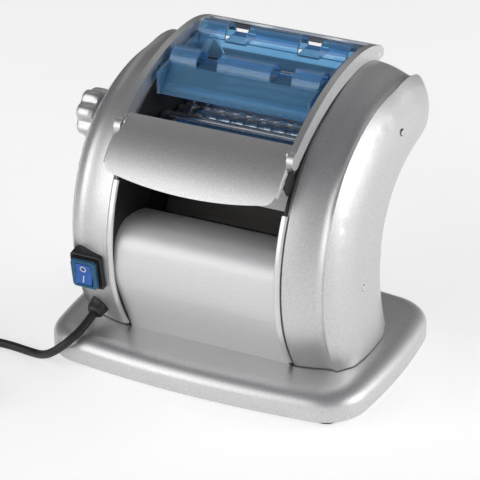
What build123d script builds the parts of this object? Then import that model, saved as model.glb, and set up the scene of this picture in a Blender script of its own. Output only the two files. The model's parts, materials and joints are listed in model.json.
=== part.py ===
"""Electric pasta maker: a wide base, two moulded housings, and between them a steel chute,
a pair of sheet rollers, two pairs of cutter rollers and a hinged guard with a front flap.

Millimetres. +Z is up, -Y is the front where the pasta comes out, +X is the side away from the switch.
The origin is on the table under the middle of the machine.
"""
from math import cos, pi, radians, sin, sqrt, tan
import os

from build123d import *

# ---------------------------------------------------------------- base
BASE_LENGTH = 304.0          # left to right
BASE_DEPTH = 217.0           # front to back
HEAD_REACH = 129.0           # rearmost point of the housings, from the middle of the base
BASE_Y = -(HEAD_REACH - BASE_DEPTH / 2) / 2   # middle of the base, so that the origin is under the whole
FOOT_HEIGHT = 6.5
FOOT_R = 11.0
BASE_TOP = 31.6              # flat top of the base, above the table
BASE_EDGE = 14.0             # straight part of the base's edge
BASE_SLOPE = 52.0
BASE_SHEET = 2.5
BOTTOM_SHEET = 1.5
CORNER_R = 40.0

# ---------------------------------------------------------------- frames and housings
ROLLER_WIDTH = 150.0         # widest sheet that the rollers take
ROLLER_END_GAP = 1.5
FRAME_SHEET = 2.0
FRAME_IN = ROLLER_WIDTH / 2 + ROLLER_END_GAP
FRAME_OUT = FRAME_IN + FRAME_SHEET
BAND_WIDTH = 38.0            # front band of a housing, from the frame to the crease
BAND_FLARE = 6.3             # the band stands this much further forward beside the chute
BULGE = 13.0                 # how far the pillow-shaped side stands out beyond the crease
HOUSING_WALL = 3.0
CREASE_X = FRAME_OUT + BAND_WIDTH
SIDE_X = CREASE_X + BULGE
SHEET_END_GAP = 0.3          # end of a cross sheet to the frame beside it
SHEET = 1.2

# ---------------------------------------------------------------- rollers and gears
AXIS_Z = 196.0               # all the roller axes lie at this height
SHEET_ROLLER_R = 15.0
SHEET_GAP = 2.2              # widest setting of the sheet rollers
THROW = 1.0                  # throw of the eccentric that closes them
SHAFT_R = 4.0
FIT = 0.05                   # radial clearance of a shaft in its bearing
FRONT_ROLLER_Y = -30.0
REAR_ROLLER_Y = FRONT_ROLLER_Y + 2 * SHEET_ROLLER_R + SHEET_GAP
KNOB_Y = REAR_ROLLER_Y - THROW
ECCENTRIC_R = 10.0
BEARING_R = 6.0              # sleeve between an eccentric and the roller's shaft
KNOB_SHAFT_R = 6.0

WIDE_CUT = 6.5               # width of the wide noodle
DISC_R = 11.0
DISC_DEPTH = 2.0             # how far the discs of a pair reach into each other's grooves
DISC_FLOAT = 0.2             # side gap between a disc and its groove
GROOVE_GAP = 0.4
CUTTER_PITCH = 2 * DISC_R - DISC_DEPTH
FINE_ROLLER_R = CUTTER_PITCH / 2 - 0.2
WIDE_FRONT_Y = 33.0
WIDE_REAR_Y = WIDE_FRONT_Y + CUTTER_PITCH
FINE_FRONT_Y = 83.0
FINE_REAR_Y = FINE_FRONT_Y + CUTTER_PITCH

GEAR_TEETH = 16
TOOTH_ROOT, TOOTH_TIP = 0.085, 0.03     # half a tooth's width at root and tip, to the radius there
GEAR_WIDTH = 6.0
GEAR_X = FRAME_OUT + 2.0
SHEET_GEAR_TIP, SHEET_GEAR_ROOT = 14.0, 11.5   # driven apart from each other, so that the gap can close
CUTTER_GEAR_TIP, CUTTER_GEAR_ROOT = 11.0, 8.3
CASE_X = GEAR_X + GEAR_WIDTH + 2.0
CASE_DEPTH = 18.0
MOTOR_Y, MOTOR_Z = -24.0, 84.0
MOTOR_R = 31.0
MOTOR_LENGTH = 104.0

# ---------------------------------------------------------------- guard
ARM_THICK = 6.0
ARM_IN = FRAME_IN - 0.5
ARM_OUT = ARM_IN + ARM_THICK
ARM_TOP_Y, ARM_TOP_Z = 61.0, 270.5      # highest point of an arm
ARM_REAR_R = 118.0
ARM_FRONT_R = 230.0
ARM_HEIGHT = 13.2
ARM_LOW_R = 216.0
ARM_REAR_Y = 108.0
ARM_END_R = 10.3
ARM_GAP = 0.8                # arm to the housing and the frame under it
HINGE_Y, HINGE_Z = 103.0, 254.0
HINGE_R = 2.5
HINGE_SWING_R = 13.0         # space kept free round the hinge for the arm's rear end
PIN_Y, PIN_Z = -64.0, 227.5  # flap pin
PIN_R = 2.0
PLATE_GAP = 0.3              # between plates that swing past each other

FLAP_SHEET = 1.6
FLAP_HALF = ARM_IN + 2
FLAP_TOP_Y, FLAP_TOP_Z = -57.5, 234.0
FLAP_LOW_Y, FLAP_LOW_Z = -107.0, 191.0
FLAP_CORNER_Z = 200.0        # its lower edge rises to here at the sides
FLAP_NOTCH_Z = 223.2
GUARD_WALL = 2.4
GUARD_END = ARM_IN - 5
HUMP_R = 12.0
LONG_HUMP = GUARD_END * 0.345                      # half length of the middle hump
SHORT_HUMP = (GUARD_END - 26.5, GUARD_END - 1.5)    # inner and outer end of the others
HUMP_ROWS = ((15.5, 256.0), (71.0, 260.5))
LIP_Y, LIP_Z = -16.5, 235.5

# ---------------------------------------------------------------- knob, switch and cord
KNOB_R = 24.0
KNOB_DEPTH = 19.5
KNOB_LOBES = 8
SWITCH_X, SWITCH_Z = -FRAME_OUT - 22.5, 95.5
SWITCH_TILT = 10.0           # the switch faces a little downwards
BEZEL_WIDTH, BEZEL_HEIGHT = 30.0, 34.0
BEZEL_PROUD = 5.0
BEZEL_DEEP = 10.0
COLLAR_WIDTH, COLLAR_HEIGHT, COLLAR_PROUD = 23.6, 27.4, 6.5
ROCKER_WIDTH, ROCKER_HEIGHT = 15.0, 20.0
ROCKER_RISE = 10.3           # from its pin to its outer edges
ROCKER_SLOT = 23.0
ROCKER_TILT = 7.0
PIVOT_DEPTH = 2.5            # the rocker's pin, below the face of the bezel
PIVOT_R = 1.5
PIVOT_REACH = 2.2            # how far each end of the pin goes into the bezel
GLAND_R = 9.0
RELIEF_LENGTH = 24.0
CORD_R = 3.75
COIL_MEAN_R = 42.0
COIL_TURN_R = COIL_MEAN_R + 2 * CORD_R   # middle of the outer turns
COIL_X, COIL_Y = -252.0, -150.5
TAIL_LENGTH = 40.0
PLUG_R = 18.0
PLUG_LENGTH = 36.0


def side_plane(x):
    """A plane square to X. Its own x runs to the back and its own y runs up, from the middle of the base."""
    return Plane(origin=(x, BASE_Y, 0), x_dir=(0, 1, 0), z_dir=(1, 0, 0))


def level(z, x=0.0, y=0.0):
    """A level plane at height z over the middle of the base."""
    return Plane(origin=(x, BASE_Y + y, z))


def front_plane(y):
    """An upright plane that faces the front."""
    return Plane(origin=(0, BASE_Y + y, 0), x_dir=(1, 0, 0), z_dir=(0, -1, 0))


def save(piece, label):
    """Label a finished piece and write it out."""
    piece.part.label = label
    export_step(piece.part, f"parts/{label}.step")


def mirrored(piece):
    """The same piece for the other side of the machine."""
    with BuildPart() as other:
        mirror(piece.part, about=Plane.YZ)
    return other


def rod(x_from, x_to, y, z, radius):
    """Round bar along X."""
    with BuildPart() as bar:
        with BuildSketch(side_plane(x_from)):
            with Locations((y, z)):
                Circle(radius)
        extrude(amount=x_to - x_from)
    return bar.part


def bent_sheet(path, thickness, half_width):
    """Sheet metal across the machine, from its line in the side view."""
    with BuildPart() as sheet:
        with BuildSketch(side_plane(-half_width)):
            with BuildLine():
                add(path)
                offset(amount=thickness, side=Side.RIGHT)
            make_face()
        extrude(amount=2 * half_width)
    return sheet


# ---------------------------------------------------------------- base
def base_outline(inset=0.0):
    """Rectangle with bowed sides and wide corners."""
    half_x, half_y = BASE_LENGTH / 2 - inset, BASE_DEPTH / 2 - inset
    corner_x, corner_y = half_x - 8.5, half_y - 11.3
    with BuildSketch(Plane.XY) as outline:
        with BuildLine():
            ThreePointArc((-corner_x, -corner_y), (0, -half_y), (corner_x, -corner_y))
            ThreePointArc((corner_x, -corner_y), (half_x, 0), (corner_x, corner_y))
            ThreePointArc((corner_x, corner_y), (0, half_y), (-corner_x, corner_y))
            ThreePointArc((-corner_x, corner_y), (-half_x, 0), (-corner_x, -corner_y))
        make_face()
        fillet(outline.vertices(), CORNER_R - inset)
    return outline.sketch


def make_base():
    edge_top = FOOT_HEIGHT + BASE_EDGE
    rise = BASE_TOP - edge_top
    with BuildPart() as base:
        with BuildSketch(level(FOOT_HEIGHT)):
            add(base_outline())
        extrude(amount=BASE_EDGE)
        with BuildSketch(level(edge_top)):
            add(base_outline())
        extrude(amount=rise, taper=BASE_SLOPE)
        fillet(base.edges().filter_by_position(Axis.Z, BASE_TOP - 0.01, BASE_TOP + 0.01), 8)
        fillet(base.edges().filter_by_position(Axis.Z, edge_top - 0.01, edge_top + 0.01), 7)
        with BuildSketch(level(FOOT_HEIGHT)):
            add(base_outline(BASE_SHEET))
        extrude(amount=BASE_EDGE - 2 * BASE_SHEET, mode=Mode.SUBTRACT)
        with BuildSketch(level(edge_top - 2 * BASE_SHEET)):
            add(base_outline(BASE_SHEET + 2))
        extrude(amount=rise + BASE_SHEET, taper=BASE_SLOPE, mode=Mode.SUBTRACT)
    save(base, "base_shell")


def make_bottom_plate():
    with BuildPart() as plate:
        with BuildSketch(level(FOOT_HEIGHT)):
            add(base_outline(BASE_SHEET))
        extrude(amount=BOTTOM_SHEET)
    save(plate, "bottom_plate")


def make_feet():
    corners = {"front_left": (-1, -1), "front_right": (1, -1), "rear_left": (-1, 1), "rear_right": (1, 1)}
    for corner, (side_x, side_y) in corners.items():
        with BuildPart() as foot:
            with BuildSketch(level(0, side_x * (BASE_LENGTH / 2 - 34), side_y * (BASE_DEPTH / 2 - 30))):
                Circle(FOOT_R)
            extrude(amount=FOOT_HEIGHT)
        save(foot, f"foot_{corner}")


# ---------------------------------------------------------------- housings and frames
def housing_outline(x, flare=0.0, scale=1.0, inset=0.0):
    """Side view of a housing: bowed front, rounded head that overhangs the back, hollow waist."""
    middle = 15.0

    def at(y, z):
        return (middle + (y - middle) * scale, BASE_TOP + (z - BASE_TOP) * scale)

    foot = at(-56 - flare, BASE_TOP)
    brow = at(-54 - flare * 0.4, 210)
    crown = at(55, 258)
    head = at(HEAD_REACH, 203)
    chin = at(108, 178)
    waist = at(31, 135)
    heel = at(45, BASE_TOP)
    with BuildSketch(side_plane(x)) as outline:
        with BuildLine():
            ThreePointArc(foot, at(-86.3 - flare, 122), brow)
            ThreePointArc(brow, at(-10, 240.5), crown)
            ThreePointArc(crown, at(103, 239.5), head)
            ThreePointArc(head, at(124, 187.5), chin)
            ThreePointArc(chin, at(60, 162), waist)
            ThreePointArc(waist, at(27.5, 95), heel)
            Line(heel, foot)
        make_face()
        if inset:
            offset(amount=-inset, mode=Mode.REPLACE)
    return outline.sketch


def arm_outline(grow=0.0):
    """Side view of a guard arm: two arcs that meet at the top, a round front end and a blunt rear end."""
    low_top = ARM_TOP_Z - ARM_HEIGHT
    tip_y = PIN_Y - 2
    tip_z = ARM_TOP_Z - ARM_FRONT_R + sqrt(ARM_FRONT_R ** 2 - (tip_y - ARM_TOP_Y) ** 2)
    rear_z = ARM_TOP_Z - ARM_REAR_R + sqrt(ARM_REAR_R ** 2 - (ARM_REAR_Y - ARM_TOP_Y) ** 2)
    heel_y = PIN_Y + 4
    heel_z = low_top - ARM_LOW_R + sqrt(ARM_LOW_R ** 2 - (heel_y - ARM_TOP_Y) ** 2)
    crest_y = (tip_y + ARM_TOP_Y) / 2
    crest_z = ARM_TOP_Z - ARM_FRONT_R + sqrt(ARM_FRONT_R ** 2 - (crest_y - ARM_TOP_Y) ** 2)
    belly_y = (heel_y + ARM_TOP_Y) / 2
    belly_z = low_top - ARM_LOW_R + sqrt(ARM_LOW_R ** 2 - (belly_y - ARM_TOP_Y) ** 2)
    back_y = (ARM_TOP_Y + ARM_REAR_Y) / 2
    back_z = ARM_TOP_Z - ARM_REAR_R + sqrt(ARM_REAR_R ** 2 - (back_y - ARM_TOP_Y) ** 2)
    beak_y = ARM_REAR_Y + 4.5
    with BuildSketch(Plane.XY) as outline:
        with BuildLine():
            ThreePointArc((tip_y, tip_z), (crest_y, crest_z), (ARM_TOP_Y, ARM_TOP_Z))
            ThreePointArc((ARM_TOP_Y, ARM_TOP_Z), (back_y, back_z), (ARM_REAR_Y, rear_z))
            Polyline((ARM_REAR_Y, rear_z), (beak_y, rear_z - 4.5), (beak_y, HINGE_Z - 4), (HINGE_Y - 3, HINGE_Z - 5))
            ThreePointArc((HINGE_Y - 3, HINGE_Z - 5), (85, 254.8), (ARM_TOP_Y, low_top))
            ThreePointArc((ARM_TOP_Y, low_top), (belly_y, belly_z), (heel_y, heel_z))
            ThreePointArc((heel_y, heel_z), (PIN_Y - ARM_END_R * 0.94, PIN_Z - ARM_END_R * 0.34), (tip_y, tip_z))
        make_face()
        if grow:
            offset(amount=grow, mode=Mode.REPLACE)
    return outline.sketch


def guard_space():
    """Room for an arm and for its rear end to swing, cut from the frame and the housing."""
    with BuildPart() as space:
        with BuildSketch(side_plane(FRAME_IN - 1)):
            add(arm_outline(ARM_GAP))
            with Locations((HINGE_Y, HINGE_Z)):
                Circle(HINGE_SWING_R)
        extrude(amount=ARM_OUT + ARM_GAP - FRAME_IN + 1)
    return space.part


def housing_shell():
    """Right-hand housing: band, crease and pillow-shaped side, hollow towards the frame."""
    with BuildPart() as body:
        for x, flare, scale in ((FRAME_OUT, BAND_FLARE, 1), (CREASE_X, 0, 1),
                                (CREASE_X + BULGE * 0.62, 0, 0.95), (SIDE_X, 0, 0.86)):
            add(housing_outline(x, flare, scale))
        loft(ruled=True)
    with BuildPart() as hollow:
        for x, flare, scale in ((FRAME_OUT - 1, BAND_FLARE, 1), (CREASE_X, 0, 1),
                                (SIDE_X - HOUSING_WALL, 0, 0.93)):
            add(housing_outline(x, flare, scale, HOUSING_WALL))
        loft(ruled=True)
    with BuildPart() as shell:
        add(body.part)
        add(hollow.part, mode=Mode.SUBTRACT)
        add(guard_space(), mode=Mode.SUBTRACT)
    return shell


def make_housings():
    right = housing_shell()
    save(right, "housing_right")
    with BuildPart() as left:
        mirror(right.part, about=Plane.YZ)
        add(rod(-SIDE_X - 1, -CREASE_X, KNOB_Y, AXIS_Z, KNOB_SHAFT_R + 0.5), mode=Mode.SUBTRACT)
        add(switch_block(FIT), mode=Mode.SUBTRACT)
        add(gland_hole(), mode=Mode.SUBTRACT)
    save(left, "housing_left")


def make_frames():
    with BuildPart() as frame:
        extrude(housing_outline(FRAME_IN, BAND_FLARE), amount=FRAME_SHEET)
        for y in (FRONT_ROLLER_Y, WIDE_FRONT_Y, WIDE_REAR_Y, FINE_FRONT_Y, FINE_REAR_Y):
            add(rod(FRAME_IN - 1, FRAME_OUT + 1, y, AXIS_Z, SHAFT_R + FIT), mode=Mode.SUBTRACT)
        add(rod(FRAME_IN - 1, FRAME_OUT + 1, KNOB_Y, AXIS_Z, ECCENTRIC_R + FIT), mode=Mode.SUBTRACT)
        add(guard_space(), mode=Mode.SUBTRACT)
    save(frame, "side_frame_right")
    save(mirrored(frame), "side_frame_left")


# ---------------------------------------------------------------- sheets between the frames
def make_chute():
    with BuildLine() as path:
        Line((-57.5, BASE_TOP), (-80, 80))
        ThreePointArc((-80, 80), (-86.8, 104), (-87.5, 123))
        ThreePointArc((-87.5, 123), (-84.5, 129.5), (-78, 132))
        ThreePointArc((-78, 132), (-55, 135.5), (-30, 132))
    save(bent_sheet(path.line, SHEET, FRAME_IN - SHEET_END_GAP), "chute")


def make_exit_guide():
    """Plate behind the sheet rollers' outlet, which turns the dough forward on to the chute."""
    with BuildLine() as path:
        ThreePointArc((-29.5, 133.5), (-14, 152), (-6, 176))
    save(bent_sheet(path.line, SHEET, FRAME_IN - SHEET_END_GAP), "exit_guide")


def make_rear_slide():
    with BuildLine() as path:
        Line((-4, 158), (8, 136))
        ThreePointArc((8, 136), (24, 102), (41, BASE_TOP + SHEET / 2))
    save(bent_sheet(path.line, SHEET, FRAME_IN - SHEET_END_GAP), "rear_slide")


def make_rear_cover():
    with BuildLine() as path:
        ThreePointArc((119, 226), (HEAD_REACH - 1.5, 205), (118, 184))
    save(bent_sheet(path.line, SHEET, FRAME_IN - SHEET_END_GAP), "rear_cover")


def make_scrapers():
    """Spring-steel blades that lift the dough off the undersides of the sheet rollers."""
    with BuildPart() as blades:
        for tip_y, foot_y in ((FRONT_ROLLER_Y - 8, FRONT_ROLLER_Y - 18), (REAR_ROLLER_Y + 8, REAR_ROLLER_Y + 15)):
            tip_z = AXIS_Z - SHEET_ROLLER_R * 0.85 - 1.8
            with BuildSketch(side_plane(-FRAME_IN + SHEET_END_GAP)):
                with BuildLine():
                    Polyline((tip_y, tip_z), (foot_y, tip_z - 14), (foot_y + 1.2, tip_z - 14.5),
                             (tip_y + 1.2, tip_z - 0.5), close=True)
                make_face()
            extrude(amount=2 * (FRAME_IN - SHEET_END_GAP))
    save(blades, "scrapers")


def make_tie_rods():
    """Spacers that hold the two frames apart."""
    with BuildPart() as rods:
        for y, z in ((-62, 116), (8, 232), (110, 215), (14, 60)):
            add(rod(-FRAME_IN, FRAME_IN, y, z, 3.5))
    save(rods, "tie_rods")


# ---------------------------------------------------------------- drive
def make_motor():
    with BuildPart() as motor:
        add(rod(-MOTOR_LENGTH / 2, MOTOR_LENGTH / 2, MOTOR_Y, MOTOR_Z, MOTOR_R))
        chamfer(motor.edges().filter_by(GeomType.CIRCLE), 4)
        add(rod(MOTOR_LENGTH / 2, FRAME_IN, MOTOR_Y, MOTOR_Z, 12))
        with BuildSketch(level(BASE_TOP, 0, MOTOR_Y)):
            with GridLocations(70, 0, 2, 1):
                Rectangle(14, 44)
        extrude(amount=MOTOR_Z - BASE_TOP)
    save(motor, "motor")


def make_gear_case():
    """Closed case of the reduction gears, on the right-hand frame inside its housing."""
    with BuildPart() as case:
        with BuildSketch(side_plane(CASE_X)):
            with BuildLine():
                Polyline((-48, 70), (0, 70), (12, 150), (70, 178), (114, 184), (114, 208), (-42, 208), (-56, 150),
                         close=True)
            make_face()
        extrude(amount=CASE_DEPTH)
        with BuildSketch(side_plane(FRAME_OUT)):
            with Locations((MOTOR_Y, MOTOR_Z)):
                Circle(9)
            with Locations((-48, 140)):
                Circle(4)
            with Locations((60, 180)):
                Circle(3)
        extrude(amount=CASE_X - FRAME_OUT)
    save(case, "gear_case")


def tooth_wheel(x, y, tip_r, root_r, half_pitch_turn):
    """Spur gear with straight-sided teeth, narrow enough to run at every setting of the rollers."""
    half_root, half_tip = root_r * TOOTH_ROOT, tip_r * TOOTH_TIP
    first = 180.0 / GEAR_TEETH if half_pitch_turn else 0.0
    with BuildPart() as wheel:
        with BuildSketch(side_plane(x)):
            with Locations((y, AXIS_Z)):
                Circle(root_r)
                with PolarLocations(0, GEAR_TEETH, start_angle=first):
                    Polygon((root_r - 1, -half_root), (tip_r, -half_tip), (tip_r, half_tip), (root_r - 1, half_root),
                            align=None)
        extrude(amount=GEAR_WIDTH)
    return wheel.part


def make_sheet_roller(label, y, half_pitch_turn):
    with BuildPart() as roller:
        add(rod(-ROLLER_WIDTH / 2, ROLLER_WIDTH / 2, y, AXIS_Z, SHEET_ROLLER_R))
        add(rod(-FRAME_OUT - 1.2, GEAR_X + GEAR_WIDTH + 1, y, AXIS_Z, SHAFT_R))
        add(tooth_wheel(GEAR_X, y, SHEET_GEAR_TIP, SHEET_GEAR_ROOT, half_pitch_turn))
    save(roller, label)


def make_wide_cutter(label, y, first_disc, discs, half_pitch_turn):
    """Grooved roller: its discs run in the grooves of the other roller of the pair."""
    disc_width = WIDE_CUT - DISC_FLOAT
    core_r = CUTTER_PITCH - DISC_R - GROOVE_GAP
    with BuildPart() as roller:
        add(rod(-ROLLER_WIDTH / 2, ROLLER_WIDTH / 2, y, AXIS_Z, core_r))
        for number in range(discs):
            middle = first_disc + number * 2 * WIDE_CUT
            add(rod(middle - disc_width / 2, middle + disc_width / 2, y, AXIS_Z, DISC_R))
        add(rod(-FRAME_OUT - 1.2, GEAR_X + GEAR_WIDTH + 1, y, AXIS_Z, SHAFT_R))
        add(tooth_wheel(GEAR_X, y, CUTTER_GEAR_TIP, CUTTER_GEAR_ROOT, half_pitch_turn))
    save(roller, label)


def make_fine_cutter(label, y, half_pitch_turn):
    with BuildPart() as roller:
        add(rod(-ROLLER_WIDTH / 2, ROLLER_WIDTH / 2, y, AXIS_Z, FINE_ROLLER_R))
        add(rod(-FRAME_OUT - 1.2, GEAR_X + GEAR_WIDTH + 1, y, AXIS_Z, SHAFT_R))
        add(tooth_wheel(GEAR_X, y, CUTTER_GEAR_TIP, CUTTER_GEAR_ROOT, half_pitch_turn))
    save(roller, label)


def make_adjuster():
    """Thickness knob, its shaft, and the eccentrics and sleeves that carry the rear sheet roller."""
    for label, x_from in (("eccentric_left", -FRAME_OUT), ("eccentric_right", FRAME_IN)):
        with BuildPart() as bearing:
            add(rod(x_from, x_from + FRAME_SHEET, KNOB_Y, AXIS_Z, ECCENTRIC_R))
            add(rod(x_from - 1, x_from + FRAME_SHEET + 1, REAR_ROLLER_Y, AXIS_Z, BEARING_R + FIT), mode=Mode.SUBTRACT)
        save(bearing, label)
    for label, x_from in (("bearing_left", -FRAME_OUT), ("bearing_right", FRAME_IN)):
        with BuildPart() as sleeve:
            add(rod(x_from, x_from + FRAME_SHEET, REAR_ROLLER_Y, AXIS_Z, BEARING_R))
            add(rod(x_from - 1, x_from + FRAME_SHEET + 1, REAR_ROLLER_Y, AXIS_Z, SHAFT_R + FIT), mode=Mode.SUBTRACT)
        save(sleeve, label)
    with BuildPart() as shaft:
        add(rod(-FRAME_OUT - 5, -FRAME_OUT, KNOB_Y, AXIS_Z, ECCENTRIC_R - 1))
        add(rod(-FRAME_OUT - 2, -FRAME_OUT, KNOB_Y, AXIS_Z, BEARING_R + THROW + 0.3), mode=Mode.SUBTRACT)
        add(rod(-SIDE_X - 1, -FRAME_OUT - 5, KNOB_Y, AXIS_Z, KNOB_SHAFT_R))
    save(shaft, "knob_shaft")
    with BuildPart() as knob:
        with BuildSketch(side_plane(-SIDE_X - 1 - KNOB_DEPTH)):
            with Locations((KNOB_Y, AXIS_Z)):
                Circle(KNOB_R)
                with PolarLocations(KNOB_R + 4.5, KNOB_LOBES):
                    Circle(8.5, mode=Mode.SUBTRACT)
        extrude(amount=KNOB_DEPTH - 3)
        chamfer(knob.faces().sort_by(Axis.X)[0].edges(), 2.5)
        add(rod(-SIDE_X - 4, -SIDE_X - 1, KNOB_Y, AXIS_Z, KNOB_R - 7))
    save(knob, "knob")


# ---------------------------------------------------------------- guard
def make_arms():
    with BuildPart() as arm:
        with BuildSketch(side_plane(ARM_IN)):
            add(arm_outline())
        extrude(amount=ARM_THICK)
        add(rod(ARM_IN - 1, ARM_OUT + 1, HINGE_Y, HINGE_Z, HINGE_R + FIT), mode=Mode.SUBTRACT)
        add(rod(ARM_IN - 2.6, ARM_IN + 1, PIN_Y, PIN_Z, PIN_R))
    save(arm, "guard_arm_right")
    save(mirrored(arm), "guard_arm_left")


def make_brackets():
    """Hinge plates riveted inside the frames, with the pins that the arms turn on."""
    plate_out = ARM_IN - PLATE_GAP
    with BuildPart() as bracket:
        with BuildSketch(side_plane(plate_out - FRAME_SHEET)):
            with Locations((HINGE_Y, HINGE_Z), (80, 238)):
                Circle(6)
            with BuildLine():
                Polyline((HINGE_Y + 3.2, HINGE_Z - 5), (HINGE_Y - 3.2, HINGE_Z + 5), (76.8, 243), (83.2, 233), close=True)
            make_face()
        extrude(amount=FRAME_SHEET)
        add(rod(plate_out, FRAME_IN, 80, 238, 4))
        add(rod(plate_out, ARM_OUT, HINGE_Y, HINGE_Z, HINGE_R))
    save(bracket, "hinge_bracket_right")
    save(mirrored(bracket), "hinge_bracket_left")


def make_crossbar():
    """Bent bar between the rear ends of the arms."""
    start_y = 96.0
    start_z = ARM_TOP_Z - ARM_REAR_R + sqrt(ARM_REAR_R ** 2 - (start_y - ARM_TOP_Y) ** 2)
    middle_y = (start_y + ARM_REAR_Y) / 2
    middle_z = ARM_TOP_Z - ARM_REAR_R + sqrt(ARM_REAR_R ** 2 - (middle_y - ARM_TOP_Y) ** 2)
    rear_z = ARM_TOP_Z - ARM_REAR_R + sqrt(ARM_REAR_R ** 2 - (ARM_REAR_Y - ARM_TOP_Y) ** 2)
    with BuildLine() as path:
        ThreePointArc((start_y, start_z), (middle_y, middle_z), (ARM_REAR_Y, rear_z))
        Polyline((ARM_REAR_Y, rear_z), (ARM_REAR_Y + 4.5, rear_z - 4.5), (ARM_REAR_Y + 4.5, HINGE_Z - 3))
    save(bent_sheet(path.line, 2.0, ARM_IN), "guard_crossbar")


def make_feed_guard():
    """Clear moulding over the feed slots: end walls, sloping front wall and two rows of finger humps."""
    inner_r = HUMP_R - GUARD_WALL
    with BuildPart() as guard:
        with BuildSketch(side_plane(-GUARD_END)):
            with BuildLine():
                Polyline((LIP_Y, LIP_Z), (LIP_Y, 255), (3.5, 258.5), (60, 263), (85, 261.5), (85, 254), (30, 244),
                         close=True)
            make_face()
        extrude(amount=GUARD_WALL)
        mirror(about=Plane.YZ)
        with BuildSketch(side_plane(-GUARD_END)):
            for (row_y, row_z), drop in zip(HUMP_ROWS, (20, 12)):
                with BuildLine():
                    Polyline((row_y - HUMP_R, row_z), (row_y - HUMP_R - drop, row_z - drop),
                             (row_y - HUMP_R - drop + 3, row_z - drop), (row_y - HUMP_R + GUARD_WALL + 0.6, row_z),
                             close=True)
                make_face()
        extrude(amount=2 * GUARD_END)
        for row_y, row_z in HUMP_ROWS:
            for x_from, x_to in ((-SHORT_HUMP[1], -SHORT_HUMP[0]), (-LONG_HUMP, LONG_HUMP), SHORT_HUMP):
                with BuildSketch(side_plane(x_from)):
                    with BuildLine():
                        CenterArc((row_y, row_z), HUMP_R, 0, 180)
                        Line((row_y - HUMP_R, row_z), (row_y - inner_r, row_z))
                        CenterArc((row_y, row_z), inner_r, 0, 180)
                        Line((row_y + inner_r, row_z), (row_y + HUMP_R, row_z))
                    make_face()
                extrude(amount=x_to - x_from)
            for x_from in (-SHORT_HUMP[0], LONG_HUMP):
                with BuildSketch(side_plane(x_from)):
                    with Locations((row_y, row_z - GUARD_WALL / 2)):
                        Rectangle(2 * HUMP_R, GUARD_WALL)
                extrude(amount=SHORT_HUMP[0] - LONG_HUMP)
            with BuildSketch(side_plane(-GUARD_END)):
                with Locations((row_y + HUMP_R - GUARD_WALL / 2, row_z - GUARD_WALL)):
                    Rectangle(GUARD_WALL, 2 * GUARD_WALL)
            extrude(amount=2 * GUARD_END)
        for y, z in ((0, 254), (62, 260)):
            for x_from, x_to in ((-ARM_IN, -GUARD_END), (GUARD_END, ARM_IN)):
                with BuildSketch(side_plane(x_from)):
                    with Locations((y, z)):
                        Rectangle(9, 4)
                extrude(amount=x_to - x_from)
    save(guard, "feed_guard")


def make_flap():
    """Bowed front flap with side flanges, on two ears that turn on the arms' pins."""
    neck = ARM_IN - 0.4
    with BuildLine() as path:
        ThreePointArc((FLAP_LOW_Y, FLAP_LOW_Z), (FLAP_LOW_Y + 29, FLAP_LOW_Z + 32.2), (FLAP_TOP_Y, FLAP_TOP_Z))
    with BuildPart() as view:
        with BuildSketch(front_plane(FLAP_TOP_Y + 10)):
            with BuildLine():
                Polyline((FLAP_HALF, FLAP_CORNER_Z), (FLAP_HALF, FLAP_NOTCH_Z), (neck, FLAP_NOTCH_Z),
                         (neck, FLAP_TOP_Z + 5), (-neck, FLAP_TOP_Z + 5), (-neck, FLAP_NOTCH_Z),
                         (-FLAP_HALF, FLAP_NOTCH_Z), (-FLAP_HALF, FLAP_CORNER_Z))
                ThreePointArc((FLAP_HALF, FLAP_CORNER_Z), (0, FLAP_CORNER_Z - 7.5), (-FLAP_HALF, FLAP_CORNER_Z))
            make_face()
        extrude(amount=FLAP_TOP_Y - FLAP_LOW_Y + 20)
        lower = view.edges().filter_by(Axis.Y).group_by(Axis.Z)[0]
        fillet(lower, 9)
    with BuildPart() as flap:
        add(bent_sheet(path.line, FLAP_SHEET, FLAP_HALF).part)
        add(view.part, mode=Mode.INTERSECT)
        for x_from in (-FLAP_HALF, FLAP_HALF - FLAP_SHEET):
            with BuildSketch(side_plane(x_from)):
                with BuildLine():
                    Polyline((-78.5, 221), (-75, 213), (-92, 201), (-95, 206.5), close=True)
                make_face()
            extrude(amount=FLAP_SHEET)
        for x_from in (-ARM_IN + 0.5, ARM_IN - 0.5 - FLAP_SHEET):
            with BuildSketch(side_plane(x_from)):
                with Locations((PIN_Y, PIN_Z)):
                    Circle(5)
                with BuildLine():
                    Polyline((PIN_Y + 4, PIN_Z + 3), (-61, 231.4), (-74, 225), (PIN_Y - 4, PIN_Z - 3), close=True)
                make_face()
            extrude(amount=FLAP_SHEET)
        add(rod(-ARM_IN, ARM_IN, PIN_Y, PIN_Z, PIN_R + FIT), mode=Mode.SUBTRACT)
    save(flap, "flap")


# ---------------------------------------------------------------- switch
def switch_plane(depth=0.0):
    """Plane of the switch's seat on the left-hand band, moved out by depth."""
    seat_y = -86.5
    normal = Vector(0, -cos(radians(SWITCH_TILT)), -sin(radians(SWITCH_TILT)))
    origin = Vector(SWITCH_X, BASE_Y + seat_y, SWITCH_Z) + normal * depth
    return Plane(origin=origin, x_dir=(1, 0, 0), z_dir=normal)


def switch_block(grow=0.0):
    """Outer form of the bezel, which is let into the housing."""
    with BuildPart() as block:
        with BuildSketch(switch_plane(-BEZEL_DEEP)):
            RectangleRounded(BEZEL_WIDTH + 2 * grow, BEZEL_HEIGHT + 2 * grow, 2.5)
        extrude(amount=BEZEL_DEEP + BEZEL_PROUD)
    return block.part


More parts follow.
